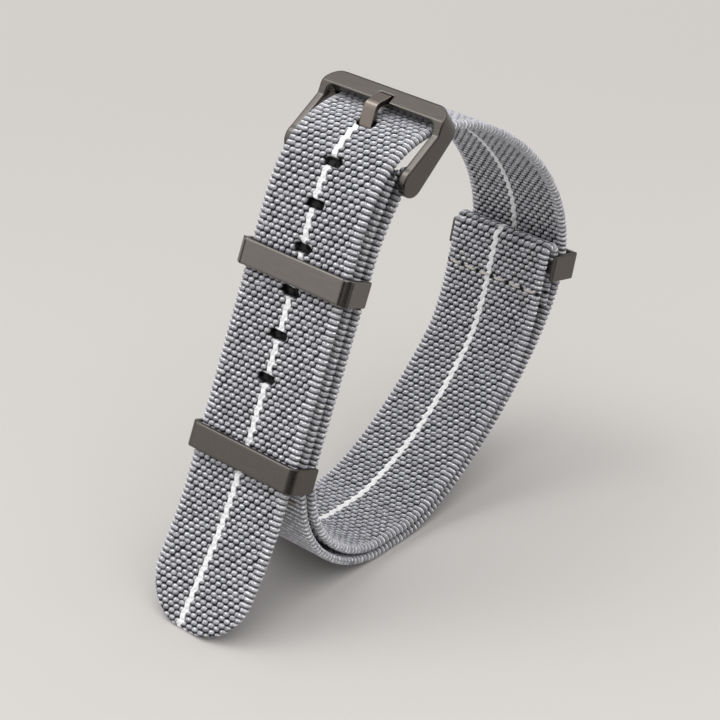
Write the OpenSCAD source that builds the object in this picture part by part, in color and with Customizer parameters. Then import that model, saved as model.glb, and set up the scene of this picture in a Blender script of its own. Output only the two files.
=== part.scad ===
// Stretch watch band, closed as a loop: a woven elastic strap is threaded through a sprung-bar tang
// buckle and two keepers, and a shorter length of webbing sewn inside it ends in a folded ring loop.
// Millimetres. The band stands on its lowest run and on the tail's tip: X runs from the free tail to the
// back of the loop, Y is across the webbing and Z is up. The side view is laid out in the band's own
// axes, where the stack of layers leans by lean, and is then turned by ground_turn onto the ground.

/* [Loop] */
// Reach of the loop, from the foot of the stack of layers to its farthest point
loop_reach = 82.1; // [81:0.1:83.5]
// Length of the straight stack of layers, from its foot to the buckle
stack_length = 63; // [62:0.5:64.5]

/* [Webbing] */
// Width of the webbing, which is the lug width of the watch
strap_w = 20; // [18:0.5:22]
// Thickness of the webbing
strap_t = 1.4; // [1.3:0.05:1.5]
// Number of free adjustment holes in the tail
hole_count = 6; // [3:1:6]
// Distance between two adjustment holes
hole_pitch = 7; // [6.5:0.25:7]
// Width of an adjustment hole, across the strap
hole_w = 2.8; // [2.4:0.2:3.2]
// Height of an adjustment hole, along the strap
hole_h = 1.4; // [1.1:0.1:1.6]
// Corner radius of the free tail's end
tail_r = 9; // [6:0.5:9]

/* [Buckle] */
// Width of one side arm of the buckle
arm_w = 1.4; // [1.2:0.1:1.8]
// Gap between the webbing's edge and a side arm
arm_gap = 0.8; // [0.7:0.1:1]
// Plan radius of the buckle's outer corners
corner_r = 3.2; // [2:0.2:3.6]
// Width of the tang
tang_w = 2.4; // [2:0.2:2.6]
// Thickness of the tang
tang_t = 0.9; // [0.8:0.05:0.95]

/* [Spring bar] */
// Number of turns in the spring
spring_turns = 14; // [10:1:16]
// Travel of one spring-bar pin
pin_travel = 1.2; // [1.1:0.05:1.25]

/* [Keepers] */
// Height of a keeper along the strap
keeper_h = 4.2; // [3.6:0.2:4.6]
// Thickness of a keeper's side walls
keeper_wall = 0.8; // [0.7:0.05:1]
// Gap between the webbing's edge and a keeper's side wall
keeper_gap = 0.3; // [0.2:0.05:0.35]
// Height of the upper keeper's middle on the stack
upper_s = 58; // [54:0.5:58]
// Height of the lower keeper's middle on the stack
lower_s = 27.8; // [27.4:0.2:30]

/* [Ring] */
// Height of the ring keeper
ring_h = 4.5; // [4:0.25:4.75]
// Thickness of the ring's outer wall
ring_wall = 0.9; // [0.8:0.05:1]

/* [Hidden] */

$fn = 48;
eps = 0.01;

// Stack of tail, long strap and short strap: heading of the stack and spacing of its layers
lean = 64;
gap_tail = 1.0;
back_bar_t = 0.8;
back_bar_slack = 0.1;
gap_inner = back_bar_t + 2 * back_bar_slack;
n_long = strap_t + gap_tail + strap_t / 2;
n_short = n_long + strap_t + gap_inner;
stack_low = 30;
stack_high = stack_length;
stack_rise = (stack_length - 63) * dir(lean);

// Free tail: heading of its end, radius of its flare and height where the flare starts
tail_heading = 54;
flare_r = 60;
flare_z = 19;
tail_sink = 0.5;
crown_z = 58.8 + stack_rise.y;

// Ground: the line that the band stands on, from the tail's tip, and its turn from the band's axes
ground_at = [-3.73, 0];
ground_turn = 2.7;
flat_front = 37.3;
flat_back = 43;

// Loop: outermost points of the crown and the back, inner front point and how round the curves are
crown = [46, 71.1] + stack_rise;
back = [loop_reach, 36];
back_k = 16.5;
back_m = 12.5;
front = [14.6, 18];
front_k = 8.8;
front_m = 10.5;
low_gap = 0.4;
follow = 0.4;
follow_gap = 0.7;

// Spring bar: axis, tube, pins and spring
bar_at = [39.1, 65.6] + stack_rise;
tube_r = 0.75;
tube_bore = 0.55;
tube_half = strap_w / 2 + arm_gap - 0.2;
wrap_r = tube_r + 0.05 + strap_t / 2;
wrap_end = -40;
crimp_r = 0.45;
crimp_len = 0.35;
pin_r = 0.4;
pin_flange_r = 0.525;
pin_flange_len = 1.2;
pin_reach = 1.1;
spring_half = tube_half - crimp_len - pin_flange_len - 0.05;
spring_r = 0.4;
spring_wire_r = 0.1;
coil_steps = 14;
wire_sides = 8;

// Buckle: tilt of its plane and its side view
buckle_tilt = 33;
arm_in = strap_w / 2 + arm_gap;
arm_out = arm_in + arm_w;
lug_r = 2.4;
side_view = [
  [0, -2.4], [9, -1.95], [11.4, -1.8], [12.75, 0.3], [12.75, 1.65], [12.45, 2.05],
  [9.7, 2.65], [9.45, 2.5], [7.8, 1.6], [0, 2.35]
];
bar_under = [[8, 0.9], [9.5, 0.9], [12.2, -0.3], [13.5, -0.3], [13.5, -3], [8, -3]];
window_end = 9.5;
window_r = 1.2;
edge_cut = 0.3;
pin_bore_r = 0.45;
pin_bore_end = 0.2;
notch_w = tang_w + 0.4;

// Tang: eye on the tube, straight shank through the webbing, bend and tip in the bar's notch
eye_r = 1.6;
eye_bore = tube_r + 0.05;
shank_heading = 31.7;
tip_heading = -30.9;
bend_corner = [8.06, 4.3];
bend_r = 0.45;
tip_len = 2.6;
tang_gap = 0.1;
wrap_slot_w = tang_w + 0.6;
wrap_slot_r = wrap_r + strap_t / 2 + 0.15;
tang_swing = 0.9;
hole_slack = 0.2;

// Keepers: front wall, depth from the tail's outer face and the bar behind the long strap
front_wall = 0.9;
front_gap = 0.15;
upper_depth = 4.7;
lower_depth = 4.9;
upper_r = 0.6;
lower_r = 1.5;
keeper_edge = 0.2;
keeper_bar_h = 1;
keeper_bar_t = 0.4;
keeper_bar_turn = 8;
keeper_bar_follow = 0.7;

// Ring: heading, place of its bar in the fold, depth to its outer face
ring_heading = 73;
fold_at = [loop_reach - 6.3, 33];
ring_bar_t = 0.8;
ring_bar_h = 2;
fold_r = ring_bar_t / 2 + 0.15 + strap_t / 2;
ring_lift = 0.6;
ring_depth = 6.2;
ring_gap = 0.4;
ring_side = 0.8;
ring_r = 1;
fold_top = 2.8;
fold_tail = 6.5;
fold_main = 5.5;

// Seams: thread bars on both faces, joined by stitches through the webbing
seam_top_s = 62.6;
seam_middle_s = 34.2;
seam_bottom_s = 23.8;
fold_seam_z = -4.75;
thread_h = 0.5;
thread_out = 0.15;
thread_sink = 0.1;
stitch = 0.4;
stitch_gap = 2;
seam_half = strap_w / 2 - 1.5;

// Holes along the tail's outer face, measured from the ground line
first_hole = 40.74;

function dir(a) = [cos(a), sin(a)];
function on_stack(s, n) = s * dir(lean) + n * dir(lean - 90);
function on_ground(x, h) = ground_at + x * dir(-ground_turn) + h * dir(90 - ground_turn);
function turned(p) = [(p - ground_at) * dir(-ground_turn), (p - ground_at) * dir(90 - ground_turn)];
function bez(p, a, k, q, b, m, u) =
  let (v = 1 - u, p1 = p + k * dir(a), q1 = q - m * dir(b))
  v * v * v * p + 3 * v * v * u * p1 + 3 * v * u * u * q1 + u * u * u * q;
function bez_d(p, a, k, q, b, m, u) =
  let (v = 1 - u, p1 = p + k * dir(a), q1 = q - m * dir(b))
  3 * v * v * (p1 - p) + 6 * v * u * (q1 - p1) + 3 * u * u * (q - q1);
function curve(p, a, k, q, b, m, n = 24) = [for (i = [0:n - 1]) bez(p, a, k, q, b, m, i / n)];
function arc(c, r, a, b, n = 20) = [for (i = [0:n]) c + r * dir(a + (b - a) * i / n)];
function line_to(p, q, n) = [for (i = [0:n]) p + (q - p) * i / n];
function side(p, i) =
  let (e = p[min(i + 1, len(p) - 1)] - p[max(i - 1, 0)]) [-e.y, e.x] / norm(e);
function offset_line(p, d) = [for (i = [0:len(p) - 1]) p[i] + d * side(p, i)];
function reverse(p) = [for (i = [len(p) - 1:-1:0]) p[i]];
function ribbon(p, t) = concat(offset_line(p, t / 2), reverse(offset_line(p, -t / 2)));
function heading(p, q) = atan2(q.y - p.y, q.x - p.x);

// Tail: straight end, flare, then straight up the stack
flare_start = on_stack(flare_z / sin(lean), strap_t / 2);
flare_c = flare_start + flare_r * dir(lean + 90);
flare = arc(flare_c, flare_r, tail_heading - 90, lean - 90, 12);
tip_z = -tail_sink + strap_t / 2 * cos(tail_heading);
tip = flare[0] - (flare[0].y - tip_z) / sin(tail_heading) * dir(tail_heading);

// Loop: over the crown, down the back and along the ground
crown_s = crown_z / sin(lean);
crown_c = [crown.x, crown.y - strap_t / 2];
back_c = [back.x - strap_t / 2, back.y];
ground_c = on_ground(flat_back, strap_t / 2);
ground_in = 180 - ground_turn;
crown_rise = curve(on_stack(crown_s, strap_t / 2), lean, 9, crown_c, 0, 8.5);
crown_fall = curve(crown_c, 0, 13, back_c, -90, 17);
back_fall = curve(back_c, -90, back_k, ground_c, ground_in, back_m);

// Up the inside of the tail and round the spring bar
front_c = [front.x + strap_t / 2, front.y];
front_rise = curve(on_ground(flat_front, strap_t / 2), ground_in, front_k, front_c, 90, front_m);
stack_join = curve(front_c, 90, 4, on_stack(stack_low, n_long), lean, 3, 8);
wrap_in = curve(on_stack(stack_high, n_long), lean, 4, bar_at + wrap_r * dir(138), 48, 3, 10);
wrap = arc(bar_at, wrap_r, 138, wrap_end, 24);
long_path = concat(
  [tip], flare, crown_rise, crown_fall, back_fall,
  line_to(ground_c, on_ground(flat_front + 0.5, strap_t / 2), 4),
  front_rise, stack_join, wrap_in, wrap
);

// Short strap: fold round the ring's bar, along the ground, up the stack to meet the wrap
up = dir(ring_heading);
out = dir(ring_heading - 90);
fold_c = fold_at + fold_r * out + fold_top * up;
follow_a = bez(back_c, -90, back_k, ground_c, ground_in, back_m, follow);
follow_d = bez_d(back_c, -90, back_k, ground_c, ground_in, back_m, follow);
follow_h = atan2(follow_d.y, follow_d.x) + 360;
follow_p = follow_a + (strap_t + follow_gap) * dir(follow_h - 90);
follow_k = norm(follow_d) * (1 - follow) / 3 - 0.5;
follow_m = back_m * (1 - follow) - 0.3;
short_z = strap_t * 1.5 + low_gap;
short_front = [front.x + strap_t * 1.5 + gap_inner * 0.8, front.y + 0.5];
short_join = curve(short_front, 90, 4, on_stack(stack_low, n_short), lean, 3, 8);
short_rise = curve(on_ground(flat_front, short_z), ground_in, front_k - 0.9, short_front, 90, front_m - 1.1);
short_path = concat(
  line_to(fold_at + 2 * fold_r * out - fold_tail * up, fold_c + fold_r * out - 0.4 * up, 3),
  arc(fold_c, fold_r, ring_heading - 90, ring_heading + 90, 16),
  curve(fold_at - fold_main * up, ring_heading + 180, 4, follow_p, follow_h, 3, 8),
  curve(follow_p, follow_h, follow_k, on_ground(flat_back, short_z), ground_in, follow_m),
  line_to(on_ground(flat_back, short_z), on_ground(flat_front + 0.5, short_z), 4),
  short_rise, short_join,
  curve(on_stack(stack_high, n_short), lean, 4, bar_at + wrap_r * dir(wrap_end), 50, 3, 10),
  [bar_at + wrap_r * dir(wrap_end)]
);

// Layers behind the tail as functions of height on the stack
long_rows = [for (p = concat(front_rise, stack_join, [on_stack(stack_low, n_long)],
  [on_stack(stack_high, n_long)])) [p * dir(lean), p * dir(lean - 90)]];
short_rows = [for (p = concat(short_rise, short_join, [on_stack(stack_low, n_short)],
  [on_stack(stack_high, n_short)])) [p * dir(lean), p * dir(lean - 90)]];
function long_n(s) = lookup(s, long_rows);
function short_n(s) = lookup(s, short_rows);
function mid_n(s) = (long_n(s) + short_n(s)) / 2;

// Outer face of the tail past the straight run, with the distance along it
crown_line = offset_line(concat(crown_rise, crown_fall), strap_t / 2);
crown_run = [for (i = 0, s = crown_s; i < len(crown_line);
  s = s + (i < len(crown_line) - 1 ? norm(crown_line[i + 1] - crown_line[i]) : 0), i = i + 1) s];
function face_x(s) = lookup(s, [for (i = [0:len(crown_run) - 1]) [crown_run[i], crown_line[i].x]]);
function face_z(s) = lookup(s, [for (i = [0:len(crown_run) - 1]) [crown_run[i], crown_line[i].y]]);
function face(s) = s < crown_s ? on_stack(s, 0) : [face_x(s), face_z(s)];

// Overall length, which sets the origin under the middle of the band
ring_at = fold_at + fold_r * out + ring_lift * up;
min_x = turned(tip + strap_t / 2 * dir(tail_heading + 90)).x;
max_x = max(max([for (p = offset_line(long_path, strap_t / 2)) turned(p).x]),
  turned(ring_at + (ring_depth - keeper_edge) * out + ring_h / 2 * up).x,
  turned(ring_at + ring_depth * out + (ring_h / 2 - keeper_edge) * up).x);
shift = (min_x + max_x) / 2;

module slab(w) rotate([90, 0, 0]) linear_extrude(height = w, center = true) children();
module plan(h) linear_extrude(height = h, center = true) children();
module across(t) rotate([90, 0, 90]) linear_extrude(height = t, center = true) children();
module at_point(p, a) translate([p.x, 0, p.y]) rotate([0, 90 - a, 0]) children();
module on_bar() translate([bar_at.x, 0, bar_at.y]) rotate([0, -buckle_tilt, 0]) children();
module along_y(r, y0, y1) translate([0, y1, 0]) rotate([90, 0, 0]) cylinder(r = r, h = y1 - y0);
module placed() translate([-shift, 0, 0]) rotate([0, -ground_turn, 0])
  translate([-ground_at.x, 0, -ground_at.y]) children();

module bevelled(x0, x1, z0, z1, c) polygon([
  [x0 + c, z0], [x1 - c, z0], [x1, z0 + c], [x1, z1 - c],
  [x1 - c, z1], [x0 + c, z1], [x0, z1 - c], [x0, z0 + c]
]);

module rounded(x0, x1, y0, y1, r) union() {
  translate([x0 + r, y0]) square([x1 - x0 - 2 * r, y1 - y0]);
  translate([x0, y0 + r]) square([x1 - x0, y1 - y0 - 2 * r]);
  for (x = [x0 + r, x1 - r], y = [y0 + r, y1 - r]) translate([x, y]) circle(r);
}

// Webbing
module hole_shape() {
  square([hole_w - hole_h, hole_h], center = true);
  for (y = [-1, 1]) translate([y * (hole_w - hole_h) / 2, 0]) circle(hole_h / 2);
}

module tail_holes() for (k = [0:hole_count - 1]) {
  s = first_hole + (5 - k) * hole_pitch;
  a = heading(face(s - 0.5), face(s + 0.5));
  at_point(face(s), a) translate([strap_t / 2, 0, 0]) across(strap_t + 0.5) hole_shape();
}

module tail_corner(y) at_point(tip, tail_heading) across(2 * strap_t + 1) scale([y, 1])
  polygon(concat(
    [[strap_w / 2 + 1, -1], [strap_w / 2 + 1, tail_r]],
    [for (a = [-8:-8.2:-90]) [strap_w / 2 - tail_r, tail_r] + tail_r * dir(a)],
    [[strap_w / 2 - tail_r, -1]]
  ));

module tang_passage() on_bar() slab(wrap_slot_w) {
  circle(wrap_slot_r);
  polygon([
    shank(0.5) - (tang_t / 2 + hole_slack) * shank_n,
    shank(shank_end) - (tang_t / 2 + hole_slack) * shank_n,
    shank(shank_end) + (tang_t / 2 + hole_slack + tang_swing) * shank_n,
    shank(0.5) + (tang_t / 2 + hole_slack) * shank_n
  ]);
}

module long_strap() color("#b9b6b1") placed() difference() {
  slab(strap_w) difference() {
    polygon(ribbon(long_path, strap_t));
    translate(ground_at) rotate(-ground_turn) translate([-60, -20]) square([200, 20]);
  }
  tail_corner(-1);
  tail_corner(1);
  tail_holes();
  tang_passage();
  seam_shapes();
}

module short_strap() color("#aeaba6") placed() difference() {
  slab(strap_w) polygon(ribbon(short_path, strap_t));
  tang_passage();
  seam_shapes();
  fold_seam_shape();
}

// Thread: a bar on each face and stitches between them, x from one face to the other
module stitches(x0, x1) {
  rows = floor(seam_half / stitch_gap);
  for (x = [x0 - thread_out, x1 - thread_sink])
    translate([x, -seam_half, -thread_h / 2]) cube([thread_out + thread_sink, 2 * seam_half, thread_h]);
  for (k = [-rows:rows]) translate([x0, k * stitch_gap - stitch / 2, -stitch / 2])
    cube([x1 - x0, stitch, stitch]);
}

module stack_seam(s) {
  a = on_stack(s, long_n(s));
  b = on_stack(s + 0.6, long_n(s + 0.6));
  at_point(on_stack(s, 0), lean) seam_between(s, heading(a, b) - lean);
}

module seam_between(s, turn) {
  near = long_n(s) - strap_t / 2;
  far = short_n(s) + strap_t / 2;
  mid = (near + far) / 2;
  half = (far - near) / 2 * cos(turn);
  translate([mid, 0, 0]) rotate([0, -turn, 0]) stitches(-half, half);
}

module seam_shapes() for (s = [seam_top_s, seam_middle_s, seam_bottom_s]) stack_seam(s);
module fold_seam_shape() at_point(fold_at, ring_heading)
  translate([0, 0, fold_seam_z]) stitches(-strap_t / 2, 2 * fold_r + strap_t / 2);

module seam_top() color("#a7a39b") placed() stack_seam(seam_top_s);
module seam_middle() color("#a7a39b") placed() stack_seam(seam_middle_s);
module seam_bottom() color("#a7a39b") placed() stack_seam(seam_bottom_s);
module ring_fold_seam() color("#b3a995") placed() fold_seam_shape();

// Keepers: a front wall and two side walls round tail and long strap, closed by a bar behind them
module keeper_shape(s, depth, r, turn = 0) {
  inner = strap_w / 2 + keeper_gap;
  outer = inner + keeper_wall;
  face_n = -front_gap - front_wall;
  stack_mid = (n_long + n_short) / 2;
  bar_n = stack_mid + keeper_bar_follow * (mid_n(s) - stack_mid);
  at_point(on_stack(s, 0), lean) {
    intersection() {
      plan(keeper_h) difference() {
        rounded(face_n, depth + r, -outer, outer, r);
        translate([-front_gap, -inner]) square([depth + 2 * r, 2 * inner]);
        translate([depth, -outer - 1]) square([2 * r + 1, 2 * outer + 2]);
      }
      slab(2 * outer + 2) bevelled(face_n, depth, -keeper_h / 2, keeper_h / 2, keeper_edge);
    }
    translate([bar_n, 0, 0]) rotate([0, -turn, 0]) slab(2 * inner + keeper_wall)
      bevelled(-keeper_bar_t / 2, keeper_bar_t / 2, -keeper_bar_h / 2, keeper_bar_h / 2, 0.15);
  }
}

module upper_keeper() color("#857c76") placed() keeper_shape(upper_s, upper_depth, upper_r);
module lower_keeper() color("#5f5852") placed()
  keeper_shape(lower_s, lower_depth, lower_r, keeper_bar_turn);

// Ring: its bar lies in the fold of the short strap and its walls go round the long strap
module ring_keeper() color("#6b645e") placed() at_point(ring_at, ring_heading) {
  inner = strap_w / 2 + ring_gap;
  outer = inner + ring_side;
  bar = ring_bar_t / 2;
  intersection() {
    plan(ring_h) difference() {
      rounded(-bar - ring_r, ring_depth, -outer, outer, ring_r);
      translate([-bar - ring_r - 1, -inner]) square([ring_depth + ring_r + 1 - ring_wall + bar, 2 * inner]);
      translate([-bar - ring_r - 1, -outer - 1]) square([ring_r + 1, 2 * outer + 2]);
    }
    slab(2 * outer + 2) bevelled(-bar, ring_depth, -ring_h / 2, ring_h / 2, keeper_edge);
  }
  slab(2 * inner + ring_side) bevelled(-bar, bar, -ring_bar_h / 2, ring_bar_h / 2, 0.15);
}

// Buckle frame
module buckle_frame() color("#6f6862") placed() on_bar() difference() {
  intersection() {
    slab(2 * arm_out) {
      polygon(side_view);
      circle(lug_r);
    }
    plan(12) rounded(-30, 12.75, -arm_out, arm_out, corner_r);
    across(60) bevelled(-arm_out, arm_out, -10, 2.66, edge_cut);
  }
  plan(12) rounded(-20, window_end, -arm_in, arm_in, window_r);
  slab(2 * arm_in - 1.2) polygon(bar_under);
  slab(notch_w) polygon(concat(
    [tip_run[2] + [0.45, 6], [4, 8]],
    offset_line(tang_cut, -tang_t / 2 - tang_gap),
    [tip_run[2] + [0.45, 0.1]]));
  for (y = [-1, 1]) scale([1, y, 1])
    along_y(pin_bore_r, arm_in - 1, arm_out - pin_bore_end);
}

// Tang
shank_u = dir(shank_heading);
shank_n = dir(shank_heading + 90);
shank_c = bend_corner * shank_n - tang_t / 2;
function shank(a) = a * shank_u + shank_c * shank_n;
bend_turn = (shank_heading - tip_heading) / 2;
bend_out = bend_r + tang_t;
bend_c = bend_corner - bend_out / cos(bend_turn) * dir((shank_heading + tip_heading) / 2 + 90);
bend = arc(bend_c, bend_r + tang_t / 2, shank_heading + 90, tip_heading + 90, 10);
shank_end = bend[0] * shank_u;
tip_run = line_to(bend[10], bend[10] + tip_len * dir(tip_heading), 2);
tang_path = concat([shank(0.6), shank(2)], bend, [tip_run[1], tip_run[2]]);
tang_cut = concat([shank(shank_end - 1.5)], bend, [tip_run[1], tip_run[2] + 0.3 * dir(tip_heading)]);

module tang() color("#8e8078") placed() on_bar() difference() {
  union() {
    along_y(eye_r, -tang_w / 2, tang_w / 2);
    slab(tang_w) polygon(ribbon(tang_path, tang_t));
  }
  along_y(eye_bore, -tang_w, tang_w);
}

// Spring bar: tube with crimped ends, two sprung pins and the spring between them
module spring_bar_tube() color("#8d8a86") placed() on_bar() difference() {
  along_y(tube_r, -tube_half, tube_half);
  along_y(tube_bore, -tube_half + crimp_len, tube_half - crimp_len);
  along_y(crimp_r, -tube_half - 1, tube_half + 1);
}

module pin_shape() {
  along_y(pin_flange_r, spring_half, spring_half + pin_flange_len);
  along_y(pin_r, spring_half + eps, arm_in + pin_reach);
}

module spring_bar_pin_left() color("#9a9792") placed() on_bar() scale([1, -1, 1]) pin_shape();
module spring_bar_pin_right() color("#9a9792") placed() on_bar() pin_shape();

coil_n = spring_turns * coil_steps;
function coil_point(i, j) =
  let (a = 360 * i / coil_steps, f = 360 * j / wire_sides,
    y = -spring_half + spring_wire_r + 2 * (spring_half - spring_wire_r) * i / coil_n,
    r = spring_r + spring_wire_r * cos(f))
  [r * cos(a), y + spring_wire_r * sin(f), r * sin(a)];
coil_points = [for (i = [0:coil_n], j = [0:wire_sides - 1]) coil_point(i, j)];
function ring_index(i, j) = i * wire_sides + (j % wire_sides);
coil_faces = concat(
  [[for (j = [0:wire_sides - 1]) ring_index(0, j)]],
  [for (i = [0:coil_n - 1], j = [0:wire_sides - 1])
    [ring_index(i, j), ring_index(i + 1, j), ring_index(i + 1, j + 1)]],
  [for (i = [0:coil_n - 1], j = [0:wire_sides - 1])
    [ring_index(i, j), ring_index(i + 1, j + 1), ring_index(i, j + 1)]],
  [[for (j = [wire_sides - 1:-1:0]) ring_index(coil_n, j)]]
);

module spring_bar_spring() color("#a5a29e") placed() on_bar()
  polyhedron(points = coil_points, faces = coil_faces, convexity = 10);

long_strap();
short_strap();
buckle_frame();
tang();
spring_bar_tube();
spring_bar_spring();
spring_bar_pin_left();
spring_bar_pin_right();
upper_keeper();
lower_keeper();
ring_keeper();
seam_top();
seam_middle();
seam_bottom();
ring_fold_seam();
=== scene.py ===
"""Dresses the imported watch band: woven webbing, satin metal, stitching, light, floor and camera."""
import logging
import math
from dataclasses import dataclass, field, fields
from enum import Enum
from functools import cache
from typing import Optional, Union

import bmesh
import bpy
import numpy as np
from bmesh.types import BMesh
from bpy.types import Camera, Light, Material, Mesh, Node, NodeSocket, NodeTree, Object
from mathutils import Matrix, Vector


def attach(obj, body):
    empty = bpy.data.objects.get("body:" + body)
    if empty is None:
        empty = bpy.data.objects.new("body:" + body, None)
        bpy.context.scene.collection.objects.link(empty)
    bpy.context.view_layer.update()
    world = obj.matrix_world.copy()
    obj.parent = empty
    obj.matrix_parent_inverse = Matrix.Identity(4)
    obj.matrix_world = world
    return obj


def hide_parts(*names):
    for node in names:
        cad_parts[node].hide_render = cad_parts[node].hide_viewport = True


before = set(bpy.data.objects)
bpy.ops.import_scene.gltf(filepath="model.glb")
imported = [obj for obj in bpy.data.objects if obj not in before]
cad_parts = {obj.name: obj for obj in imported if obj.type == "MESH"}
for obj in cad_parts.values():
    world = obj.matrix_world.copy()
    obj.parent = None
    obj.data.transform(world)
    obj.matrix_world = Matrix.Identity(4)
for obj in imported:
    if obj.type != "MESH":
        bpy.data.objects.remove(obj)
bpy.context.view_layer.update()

log = logging.getLogger("band")
logging.basicConfig(level=logging.INFO, format="%(message)s")

MM = 0.001
TINY = 1e-6
WELD = 1e-7
Triple = tuple[float, float, float]
Pair = tuple[float, float]


# Small helpers for points and paths

def heading(degrees: float) -> np.ndarray:
    """Return the unit vector at an angle above the X axis of the side view."""
    return np.array([math.cos(math.radians(degrees)), math.sin(math.radians(degrees))])


def arc(centre: np.ndarray, radius: float, a: float, b: float, n: int = 64) -> np.ndarray:
    """Sample an arc from angle a to angle b, in degrees, both ends included."""
    return np.array([centre + radius * heading(a + (b - a) * i / n) for i in range(n + 1)])


def straight(p: np.ndarray, q: np.ndarray, n: int = 4) -> np.ndarray:
    """Sample a straight line from p to q, both ends included."""
    return np.array([p + (q - p) * i / n for i in range(n + 1)])


def run_lengths(path: np.ndarray) -> np.ndarray:
    """Return the distance along a path at each of its points."""
    return np.concatenate([[0], np.cumsum(np.linalg.norm(np.diff(path, axis=0), axis=1))])


@dataclass(frozen=True)
class Curve:
    """A cubic curve, from the point, the heading in degrees and the handle's length at both ends."""

    start: np.ndarray
    start_heading: float
    start_handle: float
    end: np.ndarray
    end_heading: float
    end_handle: float

    def controls(self) -> tuple[np.ndarray, ...]:
        """Return the four control points."""
        return (self.start, self.start + self.start_handle * heading(self.start_heading),
                self.end - self.end_handle * heading(self.end_heading), self.end)

    def at(self, u: Union[float, np.ndarray]) -> np.ndarray:
        """Return the point at u, from 0 to 1."""
        v, (p, p1, q1, q) = 1 - u, self.controls()
        return v ** 3 * p + 3 * v * v * u * p1 + 3 * v * u * u * q1 + u ** 3 * q

    def slope(self, u: float) -> np.ndarray:
        """Return the derivative at u, from 0 to 1."""
        v, (p, p1, q1, q) = 1 - u, self.controls()
        return 3 * v * v * (p1 - p) + 6 * v * u * (q1 - p1) + 3 * u * u * (q - q1)

    def points(self, n: int = 96) -> np.ndarray:
        """Sample n points without the last one."""
        return self.at((np.arange(n) / n)[:, None])


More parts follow.
